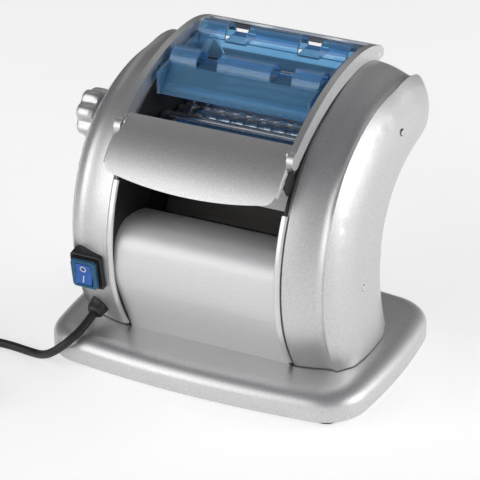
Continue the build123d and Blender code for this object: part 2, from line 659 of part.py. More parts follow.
def make_switch():
    slot_width = ROCKER_WIDTH + 0.6
    pivot = switch_plane(BEZEL_PROUD - PIVOT_DEPTH)
    pin_y, pin_z = pivot.origin.Y - BASE_Y, pivot.origin.Z
    pin_half = ROCKER_WIDTH / 2 + PIVOT_REACH
    with BuildPart() as bezel:
        add(switch_block())
        with BuildSketch(switch_plane(-BEZEL_DEEP + 2)):
            Rectangle(slot_width, ROCKER_SLOT)
        extrude(amount=BEZEL_DEEP + BEZEL_PROUD, mode=Mode.SUBTRACT)
        add(rod(SWITCH_X - pin_half - FIT, SWITCH_X + pin_half + FIT, pin_y, pin_z, PIVOT_R + FIT), mode=Mode.SUBTRACT)
    save(bezel, "switch_bezel")
    with BuildPart() as collar:
        with BuildSketch(switch_plane(BEZEL_PROUD)):
            RectangleRounded(COLLAR_WIDTH, COLLAR_HEIGHT, 3)
            Rectangle(slot_width, ROCKER_SLOT, mode=Mode.SUBTRACT)
        extrude(amount=COLLAR_PROUD)
    save(collar, "switch_collar")
    normal = pivot.z_dir.rotate(Axis.X, -ROCKER_TILT)
    side = Plane(origin=pivot.origin - Vector(ROCKER_WIDTH / 2, 0, 0), x_dir=normal, z_dir=(1, 0, 0))
    foot, half = ROCKER_HEIGHT * 0.3, ROCKER_HEIGHT * 0.48
    with BuildPart() as rocker:
        with BuildSketch(side):
            Polygon((-PIVOT_DEPTH, -foot), (ROCKER_RISE, -half), (ROCKER_RISE - 1.6, 0), (ROCKER_RISE, half),
                    (-PIVOT_DEPTH, foot), align=None)
        extrude(amount=ROCKER_WIDTH)
        add(rod(SWITCH_X - pin_half, SWITCH_X + pin_half, pin_y, pin_z, PIVOT_R))
    save(rocker, "rocker")
    print("rocker pivot", tuple(round(value, 3) for value in pivot.origin))


# ---------------------------------------------------------------- cord
GLAND_SEAT = (-103.0, -69.5, 50.0)
GLAND_AXIS = Vector(-0.14, -0.86, -0.49).normalized()
ROUTE = [(-106.4, -90.1, 38.3), (-111.5, -105, 31.5), (-123, -112, 21), (-138.5, -107, 9.5), (-156, -99, 4.2),
         (-178, -96, 4.0), (-202, -96.5, 3.9), (-227, -99, 3.8), (COIL_X, COIL_Y + COIL_TURN_R, CORD_R)]


def gland_plane(along=0.0):
    seat = Vector(GLAND_SEAT[0], BASE_Y + GLAND_SEAT[1], GLAND_SEAT[2])
    return Plane(origin=seat + GLAND_AXIS * along, x_dir=(1, 0, 0), z_dir=GLAND_AXIS)


def gland_hole():
    with BuildPart() as hole:
        with BuildSketch(gland_plane(-12)):
            Circle(GLAND_R - 2 + FIT)
        extrude(amount=14)
        with BuildSketch(gland_plane(-1.5 - FIT)):
            Circle(GLAND_R + FIT)
        extrude(amount=10)
    return hole.part


def make_gland():
    """Rubber gland: flange on the housing and a tapered sleeve that the cord leaves."""
    with BuildPart() as gland:
        with BuildSketch(gland_plane(-8)):
            Circle(GLAND_R - 2)
        extrude(amount=8)
        with BuildSketch(gland_plane(-1.5)):
            Circle(GLAND_R)
        extrude(amount=5)
        with BuildSketch(gland_plane(3.5)):
            Circle(CORD_R + 2.6)
        with BuildSketch(gland_plane(RELIEF_LENGTH)):
            Circle(CORD_R + 0.9)
        loft()
    save(gland, "cord_gland")


def route_radii(points):
    """Each bend takes 0.45 of the shorter run beside it."""
    radii = []
    for before, corner, after in zip(points, points[1:], points[2:]):
        run_in, run_out = Vector(*corner) - Vector(*before), Vector(*after) - Vector(*corner)
        turn = radians(run_in.get_angle(run_out))
        radii.append(0.45 * min(run_in.length, run_out.length) / tan(turn / 2))
    return radii


def make_cord():
    points = [(x, BASE_Y + y, z) for x, y, z in ROUTE]
    radii = route_radii(points)
    with BuildPart() as cord:
        with BuildLine() as route:
            FilletPolyline(*points, radius=radii)
        wire = route.wire()
        with BuildSketch(Plane(origin=wire @ 0, z_dir=wire % 0)):
            Circle(CORD_R)
        sweep(path=wire)
    length = wire.length
    print("cord radii", [round(radius) for radius in radii], "length", round(length, 1))
    print("cord volume against section times length", round(cord.part.volume / (pi * CORD_R ** 2 * length), 4))
    coil_top = 3 * CORD_R
    with BuildPart() as tail:
        tail_from = Vector(COIL_X, BASE_Y + COIL_Y - COIL_TURN_R, coil_top)
        tail_to = Vector(COIL_X + TAIL_LENGTH, BASE_Y + COIL_Y - COIL_TURN_R, PLUG_R)
        with BuildSketch(Plane(origin=tail_from, z_dir=tail_to - tail_from)):
            Circle(CORD_R)
        extrude(amount=(tail_to - tail_from).length)
    with BuildPart() as both:
        add(cord.part)
        add(tail.part)
    save(both, "power_cord")


def make_coil():
    """The rest of the lead, wound into a neat coil of two layers of three turns."""
    with BuildPart() as coil:
        with BuildSketch(Plane(origin=(COIL_X, BASE_Y + COIL_Y, 0), x_dir=(1, 0, 0), z_dir=(0, -1, 0))) as ring:
            with Locations((COIL_MEAN_R, 2 * CORD_R)):
                Rectangle(6 * CORD_R, 4 * CORD_R)
            chamfer(ring.vertices(), CORD_R * 0.6)
        revolve(axis=Axis((COIL_X, BASE_Y + COIL_Y, 0), (0, 0, 1)))
    save(coil, "cord_coil")
    with BuildPart() as tie:
        with BuildSketch(Plane(origin=(COIL_X, BASE_Y + COIL_Y + 6, 0), x_dir=(1, 0, 0), z_dir=(0, -1, 0))):
            with Locations((-COIL_MEAN_R, 2 * CORD_R + 0.6)):
                Rectangle(6 * CORD_R + 3.4, 4 * CORD_R + 1.2)
            with Locations((-COIL_MEAN_R, 2 * CORD_R - 1)):
                Rectangle(6 * CORD_R + 1.4, 4 * CORD_R + 2.4, mode=Mode.SUBTRACT)
        extrude(amount=12)
    save(tie, "cord_tie")


def make_plug():
    """Round earthed plug on its side, with two pins."""
    back = Vector(COIL_X + TAIL_LENGTH, BASE_Y + COIL_Y - COIL_TURN_R, PLUG_R)
    with BuildPart() as plug:
        with BuildSketch(Plane(origin=back, x_dir=(0, 1, 0), z_dir=(1, 0, 0))):
            Circle(CORD_R + 2.2)
        with BuildSketch(Plane(origin=back + Vector(PLUG_LENGTH - 14, 0, 0), x_dir=(0, 1, 0), z_dir=(1, 0, 0))):
            Circle(PLUG_R - 3)
        loft()
        with BuildSketch(Plane(origin=back + Vector(PLUG_LENGTH - 14, 0, 0), x_dir=(0, 1, 0), z_dir=(1, 0, 0))):
            Circle(PLUG_R)
        extrude(amount=14)
        with BuildSketch(Plane(origin=back + Vector(PLUG_LENGTH, 0, 0), x_dir=(0, 1, 0), z_dir=(1, 0, 0))):
            with GridLocations(19, 0, 2, 1):
                Circle(2.4)
        extrude(amount=19)
    save(plug, "power_plug")


os.makedirs("parts", exist_ok=True)
make_base()
make_bottom_plate()
make_feet()
make_housings()
make_frames()
make_chute()
make_exit_guide()
make_rear_slide()
make_rear_cover()
make_scrapers()
make_tie_rods()
make_motor()
make_gear_case()
make_sheet_roller("sheet_roller_front", FRONT_ROLLER_Y, False)
make_sheet_roller("sheet_roller_rear", REAR_ROLLER_Y, True)
make_wide_cutter("wide_cutter_front", WIDE_FRONT_Y, -10 * WIDE_CUT, 11, False)
make_wide_cutter("wide_cutter_rear", WIDE_REAR_Y, -11 * WIDE_CUT, 12, True)
make_fine_cutter("fine_cutter_front", FINE_FRONT_Y, False)
make_fine_cutter("fine_cutter_rear", FINE_REAR_Y, True)
make_adjuster()
make_arms()
make_brackets()
make_crossbar()
make_feed_guard()
make_flap()
make_switch()
make_gland()
make_cord()
make_coil()
make_plug()
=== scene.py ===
"""Looks of the electric pasta maker, on the frame that the CAD model gives.

Metres. +Z is up, -Y is the front where the pasta comes out, +X is the side away from the switch.
"""

import json
from math import atan2, cos, hypot, pi, radians, sin, sqrt, tau

import bmesh
import bpy
from mathutils import Matrix, Vector
from mathutils.geometry import delaunay_2d_cdt


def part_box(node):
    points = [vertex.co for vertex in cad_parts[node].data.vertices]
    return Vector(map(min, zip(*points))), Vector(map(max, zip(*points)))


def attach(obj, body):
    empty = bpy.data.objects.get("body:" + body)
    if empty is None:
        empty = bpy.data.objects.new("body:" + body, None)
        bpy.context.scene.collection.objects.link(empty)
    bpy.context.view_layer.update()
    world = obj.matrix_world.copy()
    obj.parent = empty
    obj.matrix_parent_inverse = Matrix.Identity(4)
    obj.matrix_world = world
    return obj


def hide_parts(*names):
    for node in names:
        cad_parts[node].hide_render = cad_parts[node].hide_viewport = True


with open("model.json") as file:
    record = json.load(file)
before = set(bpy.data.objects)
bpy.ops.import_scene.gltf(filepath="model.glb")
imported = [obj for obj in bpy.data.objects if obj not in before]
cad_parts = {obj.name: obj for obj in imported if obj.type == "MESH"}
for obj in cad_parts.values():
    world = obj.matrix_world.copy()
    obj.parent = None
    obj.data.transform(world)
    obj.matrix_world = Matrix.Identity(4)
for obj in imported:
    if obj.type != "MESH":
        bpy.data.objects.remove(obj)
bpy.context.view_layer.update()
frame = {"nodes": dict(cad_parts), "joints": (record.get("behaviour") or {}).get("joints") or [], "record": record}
scene = bpy.context.scene

# ---------------------------------------------------------------- sizes
base_low, base_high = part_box("base_shell")
BASE_Y = (base_low.y + base_high.y) / 2     # middle of the base
BASE_TOP = base_high.z
BASE_BOW_X, BASE_BOW_Y = 0.0085, 0.0113     # the base's sides swell out this far between its corners
BASE_CORNER_R = 0.040
FRAME_IN, FRAME_OUT = (corner.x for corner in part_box("side_frame_right"))
FRAME_OUT_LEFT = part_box("side_frame_left")[0].x
SIDE_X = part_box("housing_right")[1].x
BULGE = 0.013                               # a housing's side stands out this far beyond its crease
CREASE_X = SIDE_X - BULGE
HOUSING_FOOT = BASE_TOP + 0.0009            # shadow gap over the base
BAND_DIP = 0.0013                           # depth of the band's hollow beside the crease
DOME_WIDTH = 0.0310                         # the housing's side levels out over this width
DOME_POWER = 2.1                            # the larger, the sooner it levels out
DOME_ROWS = (0.001, 0.0022, 0.0038, 0.0058, 0.0080)     # rows of points that follow the crease
DOME_PITCH = 0.0046                         # spacing of the points over the rest of the side
DOME_ROW_SHARE = 0.87                       # the spread's rows lie closer than its points, as in a honeycomb
DOME_INSIDE = 0.0105                        # distance from the crease at which the spread begins
DOME_FRONT_Y, DOME_BACK_Y, DOME_TOP_Z = -0.09, 0.14, 0.262      # bounds in which its points are tried
DOME_SMOOTHING = 14                         # passes that even out the side's height
HEAD_REACH = 0.129                          # how far the head reaches back
TRIM_GROOVE = 0.0011                        # gap beside the trims, sunk into the band's inner edge
AXIS_Z = 0.196                              # height of the cutters' axes
ARM_CLEARANCE = 0.0007                      # room about a guard arm in its groove
ARM_SWINGS = (0, 70)                        # degrees, guard shut and guard wide open
FLAP_LOW, FLAP_MIDDLE, FLAP_TOP = (-0.107, 0.191), (-0.078, 0.2232), (-0.0575, 0.234)   # arc of its sheet
SWITCH_TILT, ROCKER_TILT = radians(10), radians(7)
CORD_R = 0.00375

CAMERA_AZIMUTH = radians(26.0)
CAMERA_ELEVATION = radians(27.3)
CAMERA_TARGET = Vector((-0.0069, 0.0021, 0.0971))
CAMERA_DISTANCE = 2.05
CAMERA_LENS = 176.25


def at(x, y, z):
    """A point given from the middle of the base."""
    return Vector((x, BASE_Y + y, z))


def joint_named(name):
    return next(joint for joint in frame["joints"] if joint["name"] == name)


# ---------------------------------------------------------------- camera
def make_camera():
    camera = bpy.data.objects.new("camera", bpy.data.cameras.new("camera"))
    scene.collection.objects.link(camera)
    camera.data.lens = CAMERA_LENS
    forward = Vector((-sin(CAMERA_AZIMUTH) * cos(CAMERA_ELEVATION),
                      cos(CAMERA_AZIMUTH) * cos(CAMERA_ELEVATION), -sin(CAMERA_ELEVATION)))
    camera.location = CAMERA_TARGET - forward * CAMERA_DISTANCE
    camera.rotation_euler = (pi / 2 - CAMERA_ELEVATION, 0, CAMERA_AZIMUTH)
    scene.camera = camera


# ---------------------------------------------------------------- cord
CORD_ROUTE = [(-0.1043, -0.0772, 0.0456), (-0.1064, -0.0901, 0.0383), (-0.1115, -0.105, 0.0315),
              (-0.123, -0.112, 0.021), (-0.1385, -0.107, 0.0095), (-0.156, -0.099, 0.0042),
              (-0.178, -0.096, 0.0040), (-0.202, -0.0965, 0.0039), (-0.227, -0.099, 0.0038)]
COIL_X, COIL_Y = -0.252, -0.1505
COIL_OUTER_R = 0.0505
COIL_PITCH = 0.0076
COIL_TURNS = 4.5
COIL_LAYER_TURNS = 2.0       # turns that lie on the table, wound inwards
COIL_CLIMB_TURNS = 0.25
COIL_STEPS = 24              # points on a turn
PLUG_BACK = (-0.212, -0.200, 0.018)


def coil_points():
    """Two layers: inwards on the table, then up and outwards on top of it."""
    inner_r = COIL_OUTER_R - COIL_PITCH * COIL_LAYER_TURNS
    points = []
    for step in range(int(COIL_TURNS * COIL_STEPS) + 1):
        turn = step / COIL_STEPS
        angle = pi / 2 + tau * turn
        if turn < COIL_LAYER_TURNS:
            radius = COIL_OUTER_R - COIL_PITCH * turn
        else:
            radius = inner_r + COIL_PITCH * max(0.0, turn - COIL_LAYER_TURNS - COIL_CLIMB_TURNS)
        climb = min(1.0, max(0.0, (turn - COIL_LAYER_TURNS) / COIL_CLIMB_TURNS))
        points.append((COIL_X + radius * cos(angle), COIL_Y + radius * sin(angle),
                       CORD_R * (1 + 2 * climb)))
    return points


def make_cord(material):
    tail = [(COIL_X + 0.014, PLUG_BACK[1] + 0.0005, 0.0125), (COIL_X + 0.028, PLUG_BACK[1], 0.0160),
            (PLUG_BACK[0] + 0.004, PLUG_BACK[1], PLUG_BACK[2])]
    points = CORD_ROUTE + coil_points() + tail
    curve = bpy.data.curves.new("power_cord_line", "CURVE")
    curve.dimensions = "3D"
    curve.bevel_depth = CORD_R
    curve.bevel_resolution = 5
    curve.use_fill_caps = True
    spline = curve.splines.new("NURBS")
    spline.points.add(len(points) - 1)
    for point, place in zip(spline.points, points):
        point.co = (*at(*place), 1)
    spline.order_u = 3
    spline.use_endpoint_u = True
    spline.resolution_u = 6
    curve.materials.append(material)
    cord = bpy.data.objects.new("power_lead", curve)
    scene.collection.objects.link(cord)
    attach(cord, "body")
    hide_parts("power_cord", "cord_coil")


# ---------------------------------------------------------------- materials
class Finish:
    """A node material under construction: one Principled shader, and patterns in the row frame."""

    def __init__(self, name):
        self.material = bpy.data.materials.new(name)
        self.material.use_nodes = True
        self.nodes = self.material.node_tree.nodes
        self.links = self.material.node_tree.links
        self.shader = self.nodes["Principled BSDF"]
        self.place = self.nodes.new("ShaderNodeTexCoord").outputs["Object"]

    def set(self, **values):
        for name, value in values.items():
            self.shader.inputs[name.replace("_", " ")].default_value = value
        return self

    def pattern(self, scale, stretch=(1, 1, 1), detail=4.0):
        """Noise of about scale grains per metre, drawn out along an axis by a small stretch."""
        mapping = self.nodes.new("ShaderNodeMapping")
        mapping.inputs["Scale"].default_value = stretch
        self.links.new(self.place, mapping.inputs["Vector"])
        noise = self.nodes.new("ShaderNodeTexNoise")
        noise.inputs["Scale"].default_value = scale
        noise.inputs["Detail"].default_value = detail
        self.links.new(mapping.outputs["Vector"], noise.inputs["Vector"])
        return noise.outputs["Fac"]

    def colour(self, fac, low, high, start=0.35, end=0.65):
        ramp = self.nodes.new("ShaderNodeValToRGB")
        ramp.color_ramp.elements[0].position = start
        ramp.color_ramp.elements[0].color = (*low, 1)
        ramp.color_ramp.elements[1].position = end
        ramp.color_ramp.elements[1].color = (*high, 1)
        self.links.new(fac, ramp.inputs["Fac"])
        self.links.new(ramp.outputs["Color"], self.shader.inputs["Base Color"])
        return self

    def roughness(self, fac, low, high):
        spread = self.nodes.new("ShaderNodeMapRange")
        spread.inputs["To Min"].default_value = low
        spread.inputs["To Max"].default_value = high
        self.links.new(fac, spread.inputs["Value"])
        self.links.new(spread.outputs["Result"], self.shader.inputs["Roughness"])
        return self

    def bump(self, fac, strength, distance):
        bump = self.nodes.new("ShaderNodeBump")
        bump.inputs["Strength"].default_value = strength
        bump.inputs["Distance"].default_value = distance
        self.links.new(fac, bump.inputs["Height"])
        self.links.new(bump.outputs["Normal"], self.shader.inputs["Normal"])
        return self

    def maths(self, operation, first, second):
        """Output of a math node. The second operand is a socket or a number."""
        node = self.nodes.new("ShaderNodeMath")
        node.operation = operation
        self.links.new(first, node.inputs[0])
        if isinstance(second, float):
            node.inputs[1].default_value = second
        else:
            self.links.new(second, node.inputs[1])
        return node.outputs["Value"]


def silver_paint():
    finish = Finish("silver_paint").set(Metallic=0.8)
    flakes = finish.pattern(1300, detail=6)
    finish.colour(flakes, (0.56, 0.56, 0.563), (0.73, 0.73, 0.733))
    finish.roughness(finish.pattern(500), 0.38, 0.47)
    finish.bump(flakes, 0.30, 0.0001)
    return finish.material


def brushed_steel():
    finish = Finish("brushed_steel").set(Metallic=0.35)
    strokes = finish.pattern(2600, stretch=(0.03, 1, 1))
    finish.colour(strokes, (0.76, 0.76, 0.763), (0.82, 0.82, 0.823))
    finish.roughness(strokes, 0.44, 0.52)
    finish.bump(strokes, 0.03, 0.0001)
    return finish.material


def ground_steel():
    finish = Finish("ground_steel").set(Metallic=1.0)
    rings = finish.pattern(600, stretch=(1, 0.05, 0.05))
    finish.colour(rings, (0.66, 0.66, 0.68), (0.78, 0.78, 0.80))
    finish.roughness(rings, 0.12, 0.22)
    finish.bump(rings, 0.05, 0.0001)
    return finish.material


def satin_chrome():
    finish = Finish("satin_chrome").set(Metallic=1.0)
    haze = finish.pattern(300)
    finish.colour(haze, (0.66, 0.66, 0.67), (0.74, 0.74, 0.75))
    finish.roughness(haze, 0.18, 0.28)
    finish.bump(finish.pattern(1500), 0.04, 0.0001)
    return finish.material


def clear_blue():
    finish = Finish("clear_blue").set(IOR=1.49, Transmission_Weight=0.74)
    flow = finish.pattern(40, stretch=(0.3, 1, 1), detail=2)
    finish.colour(flow, (0.24, 0.60, 0.90), (0.34, 0.68, 0.95))
    finish.roughness(flow, 0.02, 0.06)
    finish.bump(flow, 0.04, 0.0005)
    absorb = finish.nodes.new("ShaderNodeVolumeAbsorption")
    absorb.inputs["Color"].default_value = (0.05, 0.30, 0.85, 1)
    absorb.inputs["Density"].default_value = 90
    output = finish.nodes["Material Output"]
    finish.links.new(absorb.outputs["Volume"], output.inputs["Volume"])
    return finish.material


def black_plastic():
    finish = Finish("black_plastic")
    texture = finish.pattern(1800)
    finish.colour(texture, (0.012, 0.012, 0.014), (0.028, 0.028, 0.032))
    finish.roughness(texture, 0.32, 0.48)
    finish.bump(texture, 0.2, 0.0001)
    return finish.material


def blue_plastic():
    finish = Finish("blue_plastic")
    depth = finish.pattern(120)
    finish.colour(depth, (0.016, 0.110, 0.46), (0.022, 0.140, 0.56))
    finish.roughness(depth, 0.14, 0.22)
    finish.bump(finish.pattern(1500), 0.03, 0.0001)
    return finish.material


def teal_rubber():
    finish = Finish("teal_rubber")
    depth = finish.pattern(150)
    finish.colour(depth, (0.016, 0.105, 0.21), (0.024, 0.140, 0.27))
    finish.roughness(depth, 0.30, 0.42)
    finish.bump(finish.pattern(1500), 0.05, 0.0001)
    return finish.material


# Painted sheen: a pale, half-metallic steel that stays bright where a polished edge would mirror dark
# surroundings.
def painted_sheen_steel():
    finish = Finish("painted_sheen_steel").set(Metallic=0.55)
    haze = finish.pattern(60, detail=2)
    finish.colour(haze, (0.74, 0.74, 0.74), (0.77, 0.77, 0.77))
    finish.roughness(haze, 0.28, 0.32)
    return finish.material


# Painted shade: a darkened steel for polished parts deep in the machine's shaded inside.
def painted_shade_mirror():
    finish = Finish("painted_shade_mirror").set(Metallic=1.0)
    strokes = finish.pattern(1500, stretch=(0.02, 1, 1))
    finish.colour(strokes, (0.30, 0.29, 0.28), (0.38, 0.37, 0.36))
    finish.roughness(strokes, 0.05, 0.10)
    return finish.material


# Painted shade: near-black for surfaces that stand for the shade inside the machine.
def painted_shade_black():
    finish = Finish("painted_shade_black")
    texture = finish.pattern(600)
    finish.colour(texture, (0.010, 0.010, 0.011), (0.022, 0.022, 0.024))
    finish.roughness(texture, 0.35, 0.5)
    return finish.material


def black_rubber():
    finish = Finish("black_rubber")
    texture = finish.pattern(900)
    finish.colour(texture, (0.010, 0.010, 0.010), (0.024, 0.024, 0.025))
    finish.roughness(texture, 0.42, 0.58)
    finish.bump(texture, 0.15, 0.0001)
    return finish.material


def motor_steel():
    finish = Finish("motor_steel").set(Metallic=0.8)
    texture = finish.pattern(700)
    finish.colour(texture, (0.16, 0.16, 0.17), (0.24, 0.24, 0.25))
    finish.roughness(texture, 0.4, 0.55)
    return finish.material


def mark_white():
    finish = Finish("mark_white")
    texture = finish.pattern(900)
    finish.colour(texture, (0.74, 0.76, 0.78), (0.84, 0.85, 0.86))
    finish.roughness(texture, 0.3, 0.4)
    return finish.material


SLOTS = {
    "painted_silver": silver_paint(), "satin_steel": brushed_steel(), "roller_steel": ground_steel(),
    "satin_chrome": satin_chrome(), "clear_blue": clear_blue(), "black_plastic": black_plastic(),
    "blue_plastic": blue_plastic(), "black_rubber": black_rubber(), "motor_steel": motor_steel(),
}
PAINTED_SHADE_BLACK, TEAL_RUBBER = painted_shade_black(), teal_rubber()
PAINTED_SHEEN_STEEL, PAINTED_SHADE_MIRROR, WHITE_MARK = painted_sheen_steel(), painted_shade_mirror(), mark_white()


def dress_cad_nodes():
    for entry in frame["record"]["subparts"]:
        mesh = frame["nodes"][entry["node"]].data
        mesh.materials.clear()
        mesh.materials.append(SLOTS[entry["material_slot"]])
    # Painted shade: the side frames are made near-black, as the inside of the machine lies in shade.
    for node in ("side_frame_left", "side_frame_right"):
        frame["nodes"][node].data.materials[0] = PAINTED_SHADE_BLACK
    # Painted shade: the exit guide is darkened steel, as it lies in the shade above the chute.
    frame["nodes"]["exit_guide"].data.materials[0] = PAINTED_SHADE_MIRROR
    frame["nodes"]["switch_collar"].data.materials[0] = TEAL_RUBBER


# ---------------------------------------------------------------- floor and light
FLOOR_HALF = 3.0
FLOOR_GLOW = 0.54                   # what the floor adds towards the camera and in reflections
GLOW_NEAR, GLOW_FAR = 0.9, 2.0      # the glow fades between these distances from the object
GLOW_LEFT = 0.1                     # share of the glow beyond


def make_floor():
    mesh = bpy.data.meshes.new("floor")
    corners = [(x * FLOOR_HALF, y * FLOOR_HALF, 0) for x, y in ((-1, -1), (1, -1), (1, 1), (-1, 1))]
    mesh.from_pydata(corners, [], [(0, 1, 2, 3)])
    floor = bpy.data.objects.new("floor", mesh)
    scene.collection.objects.link(floor)
    finish = Finish("floor")
    finish.colour(finish.pattern(3, detail=2), (0.80, 0.80, 0.80), (0.83, 0.83, 0.83))
    finish.set(Roughness=0.75)
    nodes, links = finish.nodes, finish.links
    rays = nodes.new("ShaderNodeLightPath").outputs
    seen = finish.maths("MAXIMUM", rays["Is Camera Ray"], rays["Is Glossy Ray"])
    seen = finish.maths("MAXIMUM", seen, rays["Is Transmission Ray"])
    away = nodes.new("ShaderNodeVectorMath")
    away.operation = "LENGTH"
    links.new(finish.place, away.inputs[0])
    near = mapped(nodes, GLOW_NEAR, GLOW_FAR, 1.0, GLOW_LEFT)
    links.new(away.outputs["Value"], near.inputs["Value"])
    glow = nodes.new("ShaderNodeEmission")
    faded = finish.maths("MULTIPLY", seen, near.outputs["Result"])
    links.new(finish.maths("MULTIPLY", faded, FLOOR_GLOW), glow.inputs["Strength"])
    both = nodes.new("ShaderNodeAddShader")
    links.new(finish.shader.outputs["BSDF"], both.inputs[0])
    links.new(glow.outputs["Emission"], both.inputs[1])
    links.new(both.outputs["Shader"], nodes["Material Output"].inputs["Surface"])
    mesh.materials.append(finish.material)


def mapped(nodes, from_low, from_high, to_low, to_high):
    """Map Range node between two ranges."""
    node = nodes.new("ShaderNodeMapRange")
    node.inputs["From Min"].default_value = from_low
    node.inputs["From Max"].default_value = from_high
    node.inputs["To Min"].default_value = to_low
    node.inputs["To Max"].default_value = to_high
    return node


def softbox(name, place, size, watts, aim=(0, 0, 0.12)):
    light = bpy.data.lights.new(name, "AREA")
    light.shape = "RECTANGLE"
    light.size, light.size_y = size
    light.energy = watts
    lamp = bpy.data.objects.new(name, light)
    scene.collection.objects.link(lamp)
    lamp.location = place
    lamp.rotation_euler = (Vector(aim) - Vector(place)).to_track_quat("-Z", "Y").to_euler()


LAMPS = (                                   # name, place, size, watts
    ("front_left", (-1.3, -1.7, 0.95), (2.4, 1.9), 26),
    ("right", (1.9, 0.5, 0.7), (1.8, 1.3), 20),
    ("overhead", (-0.75, 1.05, 1.5), (1.5, 0.9), 2),
)
HORIZON, HORIZON_Z = (0.80, 0.80, 0.81, 1), 0.05    # the studio's colour up to this height of a direction
ZENITH, ZENITH_Z = (0.12, 0.12, 0.13, 1), 0.75      # and from this height up
BRIGHT_SIDE = Vector((0.8, -0.6, 0))        # the studio's pale side; the other one is dark
DARK_FROM, PALE_FROM = -0.85, -0.05         # where it is dark and pale, along that direction
DARK_STRENGTH, PALE_STRENGTH = 0.10, 0.95


def make_lights():
    for lamp in LAMPS:
        softbox(*lamp)
    world = bpy.data.worlds.new("studio")
    scene.world = world
    world.use_nodes = True
    nodes, links = world.node_tree.nodes, world.node_tree.links
    direction = nodes.new("ShaderNodeTexCoord").outputs["Generated"]
    split = nodes.new("ShaderNodeSeparateXYZ")
    ramp = nodes.new("ShaderNodeValToRGB")
    low, high = ramp.color_ramp.elements
    low.position, low.color = HORIZON_Z, HORIZON
    high.position, high.color = ZENITH_Z, ZENITH
    toward = nodes.new("ShaderNodeVectorMath")
    toward.operation = "DOT_PRODUCT"
    toward.inputs[1].default_value = BRIGHT_SIDE
    dim = mapped(nodes, DARK_FROM, PALE_FROM, DARK_STRENGTH, PALE_STRENGTH)
    links.new(direction, split.inputs["Vector"])
    links.new(split.outputs["Z"], ramp.inputs["Fac"])
    links.new(ramp.outputs["Color"], nodes["Background"].inputs["Color"])
    links.new(direction, toward.inputs[0])
    links.new(toward.outputs["Value"], dim.inputs["Value"])
    links.new(dim.outputs["Result"], nodes["Background"].inputs["Strength"])


# ---------------------------------------------------------------- mesh helpers
def piece(name, mesh, slot, body, sharp=32.0):
    """A finished mesh becomes a piece that rides on a body."""
    mesh.materials.append(SLOTS[slot])
    mesh.shade_smooth()
    mesh.set_sharp_from_angle(angle=radians(sharp))
    obj = bpy.data.objects.new(name, mesh)
    scene.collection.objects.link(obj)
    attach(obj, body)
    return obj


def skin(name, rings):
    """Mesh over closed rings of equally many points, with both ends filled."""
    count = len(rings[0])
    faces = []
    for ring in range(len(rings) - 1):
        for i in range(count):
            j = (i + 1) % count
            a, b = ring * count, (ring + 1) * count
            faces.append((a + i, a + j, b + j, b + i))
    faces.append(tuple(reversed(range(count))))
    faces.append(tuple(range((len(rings) - 1) * count, len(rings) * count)))
    mesh = bpy.data.meshes.new(name)
    mesh.from_pydata([tuple(point) for ring in rings for point in ring], [], faces)
    work = bmesh.new()
    work.from_mesh(mesh)
    bmesh.ops.recalc_face_normals(work, faces=work.faces)
    work.to_mesh(mesh)
    work.free()
    return mesh


def to_side(side, rings):
    """Rings made for the right side, mirrored to the left one where side is -1."""
    return [[Vector((point.x * side, point.y, point.z)) for point in ring] for ring in rings]


def turned_rings(profile, y, steps=48):
    """Rings about an axis along X, from (x, radius) pairs."""
    return [[at(x, y + radius * cos(tau * i / steps), AXIS_Z + radius * sin(tau * i / steps))
             for i in range(steps)] for x, radius in profile]


def arc(start, through, end, steps):
    """Points of a circular arc in the side view, without its end."""
    (ax, ay), (bx, by), (cx, cy) = start, through, end
    twice = 2 * (ax * (by - cy) + bx * (cy - ay) + cx * (ay - by))
    sa, sb, sc = ax * ax + ay * ay, bx * bx + by * by, cx * cx + cy * cy
    mx = (sa * (by - cy) + sb * (cy - ay) + sc * (ay - by)) / twice
    my = (sa * (cx - bx) + sb * (ax - cx) + sc * (bx - ax)) / twice
    radius = hypot(ax - mx, ay - my)
    first = atan2(ay - my, ax - mx)
    turn = (atan2(cy - my, cx - mx) - first) % tau
    if (atan2(by - my, bx - mx) - first) % tau > turn:
        turn -= tau
    return [(mx + radius * cos(first + turn * i / steps), my + radius * sin(first + turn * i / steps))
            for i in range(steps)]


# ---------------------------------------------------------------- base
def base_line(inset, steps=12):
    """Rectangle with bowed sides and wide corners, as points (x, y) about the middle of the base."""
    half_x, half_y = (base_high.x - base_low.x) / 2 - inset, (base_high.y - base_low.y) / 2 - inset
    bow_x, bow_y, corner_r = BASE_BOW_X, BASE_BOW_Y, BASE_CORNER_R - inset
    front_r = ((half_x - bow_x) ** 2 + bow_y ** 2) / (2 * bow_y)
    side_r = ((half_y - bow_y) ** 2 + bow_x ** 2) / (2 * bow_x)
    front_y, side_x = half_y - front_r, half_x - side_r
    reach_front, reach_side, apart = front_r - corner_r, side_r - corner_r, hypot(side_x, front_y)
    along = (reach_front ** 2 - reach_side ** 2 + apart ** 2) / (2 * apart)
    off = sqrt(reach_front ** 2 - along ** 2)
    toward = (side_x / apart, -front_y / apart)
    centre = (toward[0] * along + toward[1] * off, front_y + toward[1] * along - toward[0] * off)
    if centre[0] < 0 or centre[1] < 0:
        centre = (toward[0] * along - toward[1] * off, front_y + toward[1] * along + toward[0] * off)
    start = atan2(centre[1], centre[0] - side_x)
    stop = atan2(centre[1] - front_y, centre[0])
    quarter = [(side_x + side_r * cos(start * k / steps), side_r * sin(start * k / steps))
               for k in range(steps)]
    quarter += [(centre[0] + corner_r * cos(start + (stop - start) * k / steps),
                 centre[1] + corner_r * sin(start + (stop - start) * k / steps)) for k in range(steps)]
    for k in range(steps + 1):
        turn = stop + (pi / 2 - stop) * k / steps
        quarter.append((front_r * cos(turn), front_y + front_r * sin(turn)))
    half = quarter + [(-x, y) for x, y in reversed(quarter[:-1])]
    return half + [(x, -y) for x, y in reversed(half[1:-1])]


